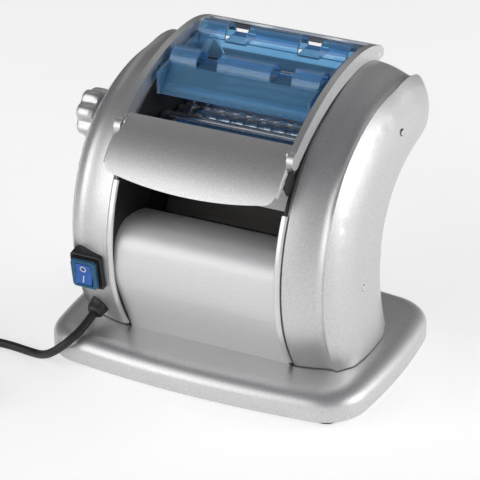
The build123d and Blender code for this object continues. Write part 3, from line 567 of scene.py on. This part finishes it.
def make_base():
    """Pressed base: upright edge, rolled over into a shoulder that slopes up to the flat top."""
    foot, edge_top, shoulder = base_low.z, base_low.z + 0.0125, 0.0175
    profile = [(0.0026, foot + 0.004), (0.0026, foot), (0.0012, foot), (0.0003, foot + 0.0005),
               (0, foot + 0.0015)]
    for step in range(13):
        turn = radians(90 * step / 12)
        profile.append((shoulder * (1 - cos(turn)), edge_top + (BASE_TOP - edge_top) * sin(turn)))
    profile.append((shoulder + 0.006, BASE_TOP))
    rings = [[at(x, y, z) for x, y in base_line(inset)] for inset, z in profile]
    base = piece("base_skin", skin("base_skin", rings), "painted_silver", "body", sharp=50)
    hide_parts("base_shell")


# ---------------------------------------------------------------- chute
def make_chute():
    """Polished sheet: a lower plane, a soft bend, and a swell that rolls back under the rollers."""
    half, thick = FRAME_IN - 0.0003, 0.0012
    bend = (-0.0845, 0.0820)
    line = arc(bend, (-0.0892, 0.1010), (-0.0882, 0.1170), 10)
    line += arc((-0.0882, 0.1170), (-0.0818, 0.1325), (-0.0680, 0.1390), 16)
    line += arc((-0.0680, 0.1390), (-0.0490, 0.1376), (-0.0300, 0.1325), 12) + [(-0.0300, 0.1325)]
    line = [(-0.0608, BASE_TOP), (-0.0725, 0.0565), (-0.0838, 0.0804)] + evened(line, 3)
    back = []
    for before, here, after in zip([line[0]] + line, line, line[1:] + [line[-1]]):
        along = Vector((after[0] - before[0], after[1] - before[1])).normalized()
        back.append((here[0] + along.y * thick, max(BASE_TOP, here[1] - along.x * thick)))
    loop = line + back[::-1]
    rings = [[at(x, *point) for point in loop] for x in (-half, half)]
    chute = piece("chute_sheet", skin("chute_sheet", rings), "satin_steel", "body", sharp=30)
    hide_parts("chute")


# ---------------------------------------------------------------- housings
def housing_side(share=1.0):
    """Side view of a housing from foot to heel, as (y, z): 0 is its edge at the frame, 1 is the crease."""
    def between(at_frame, at_crease):
        return tuple(a + (b - a) * share for a, b in zip(at_frame, at_crease))

    foot = between((-0.0623, HOUSING_FOOT), (-0.056, HOUSING_FOOT))
    front = between((-0.0926, 0.122), (-0.0863, 0.122))
    brow = between((-0.0565, 0.210), (-0.054, 0.2065))
    top = between((-0.010, 0.2405), (-0.010, 0.2350))
    crown = between((0.055, 0.2580), (0.055, 0.2448))
    back_top = between((0.085, 0.2557), (0.084, 0.2467))
    shoulder = between((0.105, 0.2482), (0.105, 0.2425))
    nape = between((0.121, 0.2325), (0.1205, 0.2290))
    head, chin = (HEAD_REACH, 0.203), (0.108, 0.178)
    waist, heel = (0.031, 0.135), (0.045, HOUSING_FOOT)
    points = arc(foot, front, brow, 26) + arc(brow, top, crown, 20) + arc(crown, back_top, shoulder, 12)
    points += arc(shoulder, nape, head, 12) + arc(head, (0.124, 0.1875), chin, 8)
    points += arc(chin, (0.060, 0.162), waist, 14) + arc(waist, (0.0275, 0.095), heel, 16) + [heel]
    return evened(points, 6)


def evened(points, times):
    """The same line with its kinks worn off and its ends in place."""
    for _ in range(times):
        inner = [((a[0] + 2 * b[0] + c[0]) / 4, (a[1] + 2 * b[1] + c[1]) / 4)
                 for a, b, c in zip(points, points[1:], points[2:])]
        points = [points[0]] + inner + [points[-1]]
    return points


def drawn_in(points, amount, step=0.0013):
    """The side view drawn in by amount all round, with its ends still on the base."""
    for _ in range(round(amount / step)):
        moved = []
        for before, here, after in zip([points[0]] + points, points, points[1:] + [points[-1]]):
            along = Vector((after[0] - before[0], after[1] - before[1])).normalized()
            moved.append((here[0] + along.y * step, max(HOUSING_FOOT, here[1] - along.x * step)))
        moved[0] = (points[0][0] + step, HOUSING_FOOT)
        moved[-1] = (points[-1][0] - step, HOUSING_FOOT)
        points = evened(moved, 1)
    return points


def inside(point, line):
    """Whether a point of the side view lies within a closed line."""
    crossings = 0
    for (ay, az), (by, bz) in zip(line, line[1:] + line[:1]):
        if (az > point[1]) != (bz > point[1]) and point[0] < ay + (point[1] - az) * (by - ay) / (bz - az):
            crossings += 1
    return crossings % 2 == 1


def distance(point, line):
    """Distance of a point of the side view from an open line."""
    nearest = 1.0
    for (ay, az), (by, bz) in zip(line, line[1:]):
        along_y, along_z = by - ay, bz - az
        share = ((point[0] - ay) * along_y + (point[1] - az) * along_z) / (along_y ** 2 + along_z ** 2)
        share = min(1.0, max(0.0, share))
        nearest = min(nearest, hypot(point[0] - ay - share * along_y, point[1] - az - share * along_z))
    return nearest


def dome_points(line, rim):
    """Points over a housing's side: rows beside the crease, then an even spread."""
    points = []
    for inset in DOME_ROWS:
        beside = drawn_in(line, inset, step=0.001 if inset < 0.0015 else 0.00098)
        points += [point for point in beside[1:-1] if point[1] > HOUSING_FOOT + 0.0004]
    row = 0
    z = HOUSING_FOOT + DOME_PITCH
    while z < DOME_TOP_Z:
        y = DOME_FRONT_Y + (row % 2) * DOME_PITCH / 2
        while y < DOME_BACK_Y:
            if inside((y, z), rim) and distance((y, z), line) > DOME_INSIDE:
                points.append((y, z))
            y += DOME_PITCH
        z += DOME_PITCH * DOME_ROW_SHARE
        row += 1
    return points


def make_housing(side, name, node, arm):
    """A band with a hollow beside its crease, and a side that swells out from the crease."""
    line = housing_side()
    count = len(line)
    width = CREASE_X - FRAME_OUT
    vertices, faces = [], []
    stations = ((0, TRIM_GROOVE), (0.0022 / width, TRIM_GROOVE), (0.0024 / width, 0.0003),
                (0.0031 / width, 0), (0.3, 0), (0.5, BAND_DIP * 0.15), (0.64, BAND_DIP * 0.5),
                (0.76, BAND_DIP * 0.88), (0.86, BAND_DIP), (0.93, BAND_DIP * 0.72),
                (0.975, BAND_DIP * 0.3), (1, 0))
    for share, dip in stations:
        ring = drawn_in(housing_side(share * share * (3 - 2 * share)), dip, step=0.0001)
        vertices += [at(FRAME_OUT + width * share, *point) for point in ring]
    rings = len(stations)
    for ring in range(rings - 1):
        for i in range(count - 1):
            a, b = ring * count + i, (ring + 1) * count + i
            faces.append((a, a + 1, b + 1, b))
    foot, heel = line[0], line[-1]
    ground_steps = 24
    ground = [(heel[0] + (foot[0] - heel[0]) * k / ground_steps, HOUSING_FOOT)
              for k in range(1, ground_steps)]
    rim = line + ground
    spread = [Vector(point) for point in rim + dome_points(line, rim)]
    corners, _, triangles, origins, _, _ = delaunay_2d_cdt(spread, [], [list(range(len(rim)))], 1, 1e-7)
    first = len(vertices)
    place = {}
    for index, (corner, sources) in enumerate(zip(corners, origins)):
        place.update({source: first + index for source in sources})
        rise = 1 - (1 - min(1.0, distance(corner, line) / DOME_WIDTH)) ** DOME_POWER
        vertices.append(at(CREASE_X + BULGE * rise, corner.x, corner.y))
    faces += [tuple(first + index for index in triangle) for triangle in triangles]
    faces.append(tuple(range(count)))
    faces.append(tuple([ring * count for ring in range(rings)]
                       + [place[index] for index in reversed(range(count, len(rim)))]
                       + [ring * count + count - 1 for ring in reversed(range(rings))]))
    mesh = bpy.data.meshes.new(name)
    mesh.from_pydata([tuple(point) for point in vertices], [], faces)
    work = bmesh.new()
    work.from_mesh(mesh)
    bmesh.ops.remove_doubles(work, verts=work.verts, dist=1e-5)
    domed = [v for v in work.verts if v.co.x > CREASE_X + BULGE * 0.55]
    for _ in range(DOME_SMOOTHING):
        bmesh.ops.smooth_vert(work, verts=domed, factor=0.5,
                              use_axis_x=True, use_axis_y=False, use_axis_z=False)
    bmesh.ops.recalc_face_normals(work, faces=work.faces)
    work.to_mesh(mesh)
    work.free()
    if side < 0:
        mesh.transform(Matrix.Scale(-1, 4, (1, 0, 0)))
        mesh.flip_normals()
    housing = piece(name, mesh, "painted_silver", "body", sharp=34)
    cut_arm_groove(housing, arm)
    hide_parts(node)


def cut_arm_groove(housing, arm):
    """The groove of a guard arm: its form grown by its clearance, at both ends of its swing."""
    grown = frame["nodes"][arm].data.copy()
    work = bmesh.new()
    work.from_mesh(grown)
    bmesh.ops.remove_doubles(work, verts=work.verts, dist=1e-6)
    work.normal_update()
    for vert in work.verts:
        vert.co += vert.normal * ARM_CLEARANCE
    work.to_mesh(grown)
    work.free()
    hinge = joint_named("guard_hinge")
    pin, axis = Vector(hinge["pos_m"]), Vector(hinge["axis"])
    swept = bmesh.new()
    for opened in ARM_SWINGS:
        swung = grown.copy()
        swung.transform(Matrix.Translation(pin) @ Matrix.Rotation(radians(opened), 4, axis)
                        @ Matrix.Translation(-pin))
        swept.from_mesh(swung)
    swept.to_mesh(grown)
    swept.free()
    cutter = bpy.data.objects.new("cutter", grown)
    scene.collection.objects.link(cutter)
    groove = housing.modifiers.new("arm_groove", "BOOLEAN")
    groove.operation = "DIFFERENCE"
    groove.solver = "EXACT"
    groove.use_self = True
    groove.object = cutter
    bpy.context.view_layer.update()
    cut = bpy.data.meshes.new_from_object(housing.evaluated_get(bpy.context.evaluated_depsgraph_get()))
    housing.modifiers.clear()
    housing.data = cut
    bpy.data.objects.remove(cutter)


# ---------------------------------------------------------------- metal pieces
def bevel_cad_edges():
    """Softens the edges of the CAD pieces that show."""
    for node, width in (("guard_arm_left", 0.0012), ("guard_arm_right", 0.0012), ("flap", 0.0005),
                        ("guard_crossbar", 0.0005), ("switch_collar", 0.0012), ("rocker", 0.0006),
                        ("sheet_roller_front", 0.0005), ("sheet_roller_rear", 0.0005)):
        soften = frame["nodes"][node].modifiers.new("soft_edge", "BEVEL")
        soften.width = width
        soften.segments = 3
        soften.limit_method = "ANGLE"
        soften.angle_limit = radians(40)
        soften.harden_normals = True


def make_trims():
    """Polished flat bead along the front edge of each side frame; its pale finish paints the bead's sheen."""
    trim_x, proud, top, front_points = FRAME_OUT - 0.0008, 0.0008, 0.190, 40
    half_wide, wide_power, half_thick, thick_power, steps = 0.0027, 0.6, 0.0013, 0.8, 20
    front = [point for point in housing_side(0)[:front_points] if point[1] < top]
    line = []
    for before, here, after in zip(front, front[1:], front[2:]):
        along = Vector((after[0] - before[0], after[1] - before[1])).normalized()
        line.append(at(trim_x, here[0] - along.y * proud, here[1] + along.x * proud))
    rings = []
    for i, point in enumerate(line):
        ahead = (line[min(i + 1, len(line) - 1)] - line[max(i - 1, 0)]).normalized()
        across, out = Vector((1, 0, 0)), ahead.cross(Vector((1, 0, 0)))
        ring = []
        for k in range(steps):
            turn = tau * k / steps
            wide = half_wide * abs(cos(turn)) ** wide_power * (1 if cos(turn) > 0 else -1)
            thick = half_thick * abs(sin(turn)) ** thick_power * (1 if sin(turn) > 0 else -1)
            ring.append(point + across * wide + out * thick)
        rings.append(ring)
    for side, name in ((1, "edge_trim_right"), (-1, "edge_trim_left")):
        trim = piece(name, skin(name, to_side(side, rings)), "satin_chrome", "body", sharp=50)
        # Painted sheen: the trims take the pale steel so that they read bright along their whole length.
        trim.data.materials[0] = PAINTED_SHEEN_STEEL


SCREWS = ((0.043, 0.215), (-0.033, 0.104))      # (y, z) on each housing's side
SCREW_R, SCREW_SEAT_R, SCREW_SINK = 0.0026, 0.0033, 0.0001


def disc_rings(side, y, z, profile, steps=24):
    """Rings about an axis along X on a housing's side, from (x, radius) pairs."""
    return [[at(side * (SIDE_X + x - SCREW_SINK), y + radius * cos(tau * k / steps),
                z + radius * sin(tau * k / steps)) for k in range(steps)] for x, radius in profile]


def make_screws():
    """Fixing screws of the housings, each in a seat painted near-black as the shade of its recess."""
    head = ((-0.002, SCREW_R), (0.0000, SCREW_R), (0.0006, SCREW_R * 0.8), (0.0008, SCREW_R * 0.4))
    seat = ((-0.002, SCREW_SEAT_R), (0.00005, SCREW_SEAT_R), (0.0001, SCREW_SEAT_R - 0.0003))
    for number, (y, z) in enumerate(SCREWS):
        for side, end in ((1, "right"), (-1, "left")):
            name = f"screw_{end}_{number + 1}"
            piece(name, skin(name, disc_rings(side, y, z, head)), "satin_chrome", "body")
            name += "_seat_painted_shade"
            shade = piece(name, skin(name, disc_rings(side, y, z, seat)), "painted_silver", "body")
            # Painted shade: the seat is near-black, standing for the shade in the screw's recess.
            shade.data.materials[0] = PAINTED_SHADE_BLACK


# ---------------------------------------------------------------- flap edges
def make_flap_edges():
    """Side flange of the flap with its rolled edge, made bright by a painted sheen."""
    flap_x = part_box("flap")[1].x
    lowest, highest, steps = 0.2045, 0.2228, 60         # the edge between its corner and its notch
    bead_r, bead_steps, out, back = 0.0009, 10, 0.0005, 0.0006
    least_depth, more_depth = 0.0015, 0.0055            # the flange widens upwards
    line = [point for point in arc(FLAP_LOW, FLAP_MIDDLE, FLAP_TOP, steps) if lowest < point[1] < highest]
    bead, outer, inner = [], [], []
    for i, point in enumerate(line):
        after, before = line[min(i + 1, len(line) - 1)], line[max(i - 1, 0)]
        along = Vector((0, after[0] - before[0], after[1] - before[1])).normalized()
        across, inward = Vector((1, 0, 0)), Vector((0, along.z, -along.y))
        place = at(flap_x + out, *point) + inward * back
        turns = [tau * k / bead_steps for k in range(bead_steps)]
        bead.append([place + (across * cos(turn) + inward * sin(turn)) * bead_r for turn in turns])
        inner.append(place)
        outer.append(place + inward * (least_depth + more_depth * i / len(line)))
    flange_x = (-0.0008, 0.0002)
    flange = [[point + Vector((x, 0, 0)) for point in inner + outer[::-1]] for x in flange_x]
    for side, end in ((1, "right"), (-1, "left")):
        name = "flap_edge_" + end
        edge = piece(name, skin(name, to_side(side, bead)), "painted_silver", "flap")
        # Painted sheen: the rolled edge takes the pale steel so that it reads as a bright line.
        edge.data.materials[0] = PAINTED_SHEEN_STEEL
        name = "flap_flange_" + end
        piece(name, skin(name, to_side(side, flange)), "painted_silver", "flap")


def make_frame_corners():
    """Front corner of each side frame, painted near-black as the shade below the arm's end."""
    corner = ((-0.062, 0.198), (-0.062, 0.214), (-0.069, 0.2158), (-0.079, 0.213), (-0.080, 0.205),
              (-0.074, 0.196))
    for side, end in ((1, "right"), (-1, "left")):
        name = "frame_corner_shade_" + end
        rings = [[at(side * x, *point) for point in corner] for x in (FRAME_IN + 0.0003, FRAME_OUT - 0.0002)]
        # Painted shade: the corner is near-black, standing for the shade in the slot below the arm.
        piece(name, skin(name, rings), "painted_silver", "body").data.materials[0] = PAINTED_SHADE_BLACK


# ---------------------------------------------------------------- switch bezel
def make_bezel():
    """Black frame of the switch, with the ribs of its soft boot."""
    normal = Vector((0, -cos(SWITCH_TILT), -sin(SWITCH_TILT)))
    across, up = Vector((1, 0, 0)), Vector((0, -sin(SWITCH_TILT), cos(SWITCH_TILT)))
    seat = at(FRAME_OUT_LEFT - 0.0225, -0.0865, 0.0955)
    corner_r, corner_steps = 0.003, 6
    stations = (                                # depth, half the width, half the height
        (-0.009, 0.0150, 0.0170), (0.0052, 0.0150, 0.0170), (0.0060, 0.0147, 0.0167),
        (0.0063, 0.0142, 0.0162), (0.0063, 0.0136, 0.0155), (0.0054, 0.0135, 0.0154),
        (0.0054, 0.0131, 0.0150), (0.0074, 0.0130, 0.0149), (0.0074, 0.0127, 0.0146),
        (0.0062, 0.0126, 0.0145), (0.0062, 0.0123, 0.0142), (0.0086, 0.0122, 0.0141),
        (0.0086, 0.0112, 0.0131))
    rings = []
    for depth, half_wide, half_high in stations:
        ring = []
        for quarter, (sx, sz) in enumerate(((1, 1), (-1, 1), (-1, -1), (1, -1))):
            for k in range(corner_steps + 1):
                turn = pi / 2 * (quarter + k / corner_steps)
                ring.append(seat + normal * depth
                            + across * (sx * (half_wide - corner_r) + corner_r * cos(turn))
                            + up * (sz * (half_high - corner_r) + corner_r * sin(turn)))
        rings.append(ring)
    bezel = piece("switch_boot", skin("switch_boot", rings), "black_plastic", "body", sharp=40)
    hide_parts("switch_bezel")


# ---------------------------------------------------------------- cord gland
def make_gland():
    """Chunky eight-sided black nut that the cord leaves the housing through."""
    seat = at(-0.1030, -0.0695, 0.0500)
    axis = Vector((-0.14, -0.86, -0.49)).normalized()
    across = axis.cross(Vector((0, 0, 1))).normalized()
    up = across.cross(axis)
    flat_turn, steps = pi / 4, 48
    stations = (                                # along the axis, radius, and how flat its sides are
        (-0.003, 0.0088, 0), (0.0012, 0.0090, 0), (0.0020, 0.0086, 0.3), (0.0060, 0.0080, 1),
        (0.0082, 0.0074, 1), (0.0094, 0.0062, 0.6), (0.0098, 0.0046, 0), (0.0100, 0.0020, 0))
    rings = []
    for along, radius, flat in stations:
        ring = []
        for k in range(steps):
            turn = tau * k / steps
            share = cos(flat_turn / 2) / cos((turn % flat_turn) - flat_turn / 2)
            reach = radius * (1 + (share - 1) * flat)
            ring.append(seat + axis * along + (across * cos(turn) + up * sin(turn)) * reach)
        rings.append(ring)
    gland = piece("cord_nut", skin("cord_nut", rings), "black_plastic", "body", sharp=30)
    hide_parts("cord_gland")


# ---------------------------------------------------------------- cutters
def make_fine_cutter(label, body, y, shift):
    """Finely grooved cylinder over the CAD roller's shaft and gear."""
    pitch, groove_r, tip_r, half = 0.002, 0.0090, 0.0105, 0.075
    tooth, flank, shaft_r = pitch * 0.42, 0.0001, 0.004
    profile = [(-half, shaft_r), (-half, groove_r)]
    x = -half + pitch / 2 + shift
    while x < half - pitch * 0.9:
        profile += [(x, groove_r), (x + flank, tip_r), (x + tooth, tip_r), (x + tooth + flank, groove_r)]
        x += pitch
    profile += [(half, groove_r), (half, shaft_r)]
    mesh = skin(label + "_grooves", turned_rings(profile, y, steps=36))
    cutter = piece(label + "_grooves", mesh, "roller_steel", body)
    ends = frame["nodes"][label].data.copy()
    work = bmesh.new()
    work.from_mesh(ends)
    barrel = [v for v in work.verts if abs(v.co.x) < half + 1e-5
              and hypot(v.co.y - BASE_Y - y, v.co.z - AXIS_Z) > shaft_r + 0.0005]
    bmesh.ops.delete(work, geom=barrel, context="VERTS")
    work.to_mesh(ends)
    work.free()
    shaft = bpy.data.objects.new(label + "_shaft", ends)
    scene.collection.objects.link(shaft)
    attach(shaft, body)
    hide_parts(label)


# ---------------------------------------------------------------- knob
def make_knob():
    """Lobed thickness knob with soft edges and a dished face."""
    low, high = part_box("knob")
    middle_y, middle_z = (low.y + high.y) / 2, (low.z + high.z) / 2
    rim, steps, lobes = (high.z - low.z) / 2, 192, 7
    hollow_depth, hollow_power = 0.17, 1.6
    stations = (                                # depth from the inner end, share of the rim, lobing
        (0.0, 0.70, 0), (0.003, 0.70, 0), (0.0032, 0.93, 0.6), (0.0045, 0.985, 1), (0.008, 1.0, 1),
        (0.014, 1.0, 1), (0.0172, 0.975, 1), (0.0188, 0.92, 0.9), (0.0195, 0.84, 0.7),
        (0.0192, 0.70, 0.3), (0.0178, 0.60, 0), (0.0174, 0.30, 0), (0.0174, 0.05, 0))
    rings = []
    for depth, share, lobing in stations:
        ring = []
        for i in range(steps):
            angle = tau * i / steps
            hollow = (0.5 - 0.5 * cos(lobes * angle)) ** hollow_power
            radius = rim * share * (1 - hollow_depth * lobing * hollow)
            ring.append(Vector((high.x - depth, middle_y + radius * cos(angle),
                                middle_z + radius * sin(angle))))
        rings.append(ring)
    knob = piece("thickness_knob", skin("thickness_knob", rings), "painted_silver", "adjuster", sharp=50)
    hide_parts("knob")


# ---------------------------------------------------------------- switch marks
ROCKER_RISE, ROCKER_DIP, ROCKER_HALF = 0.0103, 0.0016, 0.0096   # its two faces meet in a shallow V
MARK_THICK = 0.0003
O_OUTER, O_INNER, O_STEPS = 0.0030, 0.0020, 40
I_HALF_WIDE, I_HALF_HIGH = 0.0006, 0.0030


def make_switch_marks():
    """O and I, printed on the rocker's two faces."""
    pivot = Vector(joint_named("power_rocker")["pos_m"])
    lean = SWITCH_TILT - ROCKER_TILT
    across, out = Vector((1, 0, 0)), Vector((0, -cos(lean), -sin(lean)))
    up = Vector((0, -sin(lean), cos(lean)))
    slope = atan2(ROCKER_DIP, ROCKER_HALF)
    turns = [tau * k / O_STEPS for k in range(O_STEPS)]
    o_line = [(radius * cos(turn), radius * sin(turn)) for radius in (O_OUTER, O_INNER) for turn in turns]
    o_faces = [(k, (k + 1) % O_STEPS, O_STEPS + (k + 1) % O_STEPS, O_STEPS + k) for k in range(O_STEPS)]
    i_line = [(x * I_HALF_WIDE, y * I_HALF_HIGH) for x, y in ((-1, -1), (1, -1), (1, 1), (-1, 1))]
    for name, sign, line, faces in (("mark_o", 1, o_line, o_faces), ("mark_i", -1, i_line, [(0, 1, 2, 3)])):
        along = up * cos(slope) + out * sin(slope) * sign
        face_out = out * cos(slope) - up * sin(slope) * sign
        centre = (pivot + out * (ROCKER_RISE - ROCKER_DIP / 2) + up * (ROCKER_HALF / 2 * sign)
                  + face_out * MARK_THICK)
        mesh = bpy.data.meshes.new(name)
        mesh.from_pydata([tuple(centre + across * x + along * y) for x, y in line], [], faces)
        mesh.materials.append(WHITE_MARK)
        mark = bpy.data.objects.new(name, mesh)
        scene.collection.objects.link(mark)
        thick = mark.modifiers.new("thickness", "SOLIDIFY")
        thick.thickness = MARK_THICK
        thick.offset = 0
        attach(mark, "rocker")


# ---------------------------------------------------------------- the whole scene
make_camera()
make_cord(SLOTS["black_rubber"])
dress_cad_nodes()
make_floor()
make_lights()
make_housing(1, "housing_skin_right", "housing_right", "guard_arm_right")
make_housing(-1, "housing_skin_left", "housing_left", "guard_arm_left")
bevel_cad_edges()
make_base()
make_chute()
make_trims()
make_screws()
make_flap_edges()
make_frame_corners()
make_bezel()
make_gland()
make_fine_cutter("fine_cutter_front", "fine_front", 0.083, 0.0)
make_fine_cutter("fine_cutter_rear", "fine_rear", 0.103, 0.001)
make_knob()
make_switch_marks()

scene.view_settings.view_transform = "Standard"
